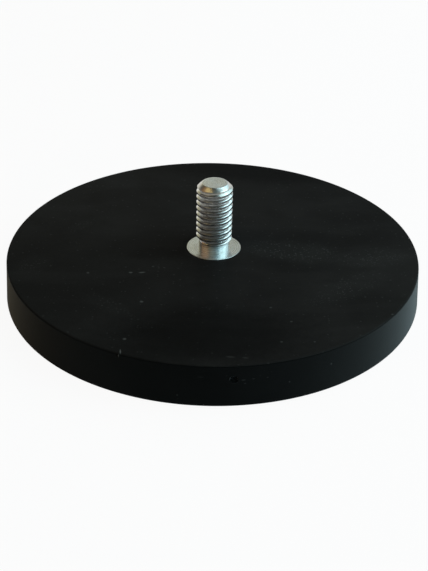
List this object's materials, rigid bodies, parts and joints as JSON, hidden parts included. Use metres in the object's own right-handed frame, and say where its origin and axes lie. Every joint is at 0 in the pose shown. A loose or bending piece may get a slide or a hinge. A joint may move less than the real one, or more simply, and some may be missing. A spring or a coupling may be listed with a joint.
{
  "type": "rubber-coated pot magnet with threaded stud",
  "caption": "Flat round rubber-coated holding magnet with a turned threaded stud standing from the centre of its back.",
  "frame": {"origin": "centre of the magnetic face, on the flat that holds on to steel", "axes": "+Z along the stud, away from the magnetic face; +X and +Y lie in that face"},
  "size_m": [0.088, 0.088, 0.0235],
  "materials": {
    "rubber": "matte moulded black rubber with fine dust and handling smudges",
    "zinc_plated_steel": "turned steel with bright zinc plating, fine turning marks",
    "plate_steel": "plain pressed steel plate",
    "magnet_plating": "smooth nickel plating"
  },
  "bodies": {
    "root": {"rubber_jacket": "rubber", "threaded_stud": "zinc_plated_steel", "steel_plate": "plate_steel", "magnet_inner_1": "magnet_plating", "magnet_inner_2": "magnet_plating", "magnet_inner_3": "magnet_plating", "magnet_inner_4": "magnet_plating", "magnet_inner_5": "magnet_plating", "magnet_inner_6": "magnet_plating", "magnet_outer_1": "magnet_plating", "magnet_outer_2": "magnet_plating", "magnet_outer_3": "magnet_plating", "magnet_outer_4": "magnet_plating", "magnet_outer_5": "magnet_plating", "magnet_outer_6": "magnet_plating", "magnet_outer_7": "magnet_plating", "magnet_outer_8": "magnet_plating", "magnet_outer_9": "magnet_plating", "magnet_outer_10": "magnet_plating", "magnet_outer_11": "magnet_plating", "magnet_outer_12": "magnet_plating"}
  },
  "joints": []
}
